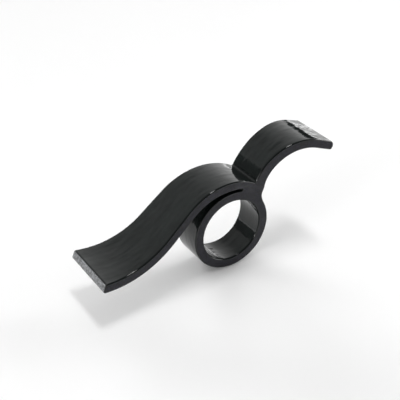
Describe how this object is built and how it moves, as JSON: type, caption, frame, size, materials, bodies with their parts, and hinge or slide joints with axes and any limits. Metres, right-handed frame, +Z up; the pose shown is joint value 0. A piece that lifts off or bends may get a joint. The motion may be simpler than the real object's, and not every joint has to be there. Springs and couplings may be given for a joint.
{
  "type": "finger-ring castanet",
  "caption": "Glossy black finger ring carrying a long S-curved blade and a short arched blade that flare towards their square ends.",
  "frame": {"origin": "middle of the footprint at the lowest point of the ring, under the middle of the object's box", "axes": "+X along the length towards the short blade, +Y across the width along the finger bore, +Z up"},
  "size_m": [0.0808, 0.0202, 0.0376],
  "materials": {
    "gloss_black": "polished gloss black on the curved surfaces, satin on the two side faces"
  },
  "bodies": {
    "root": {"finger_ring": "gloss_black", "long_blade": "gloss_black", "short_blade": "gloss_black", "bridge_web": "gloss_black"}
  },
  "joints": []
}
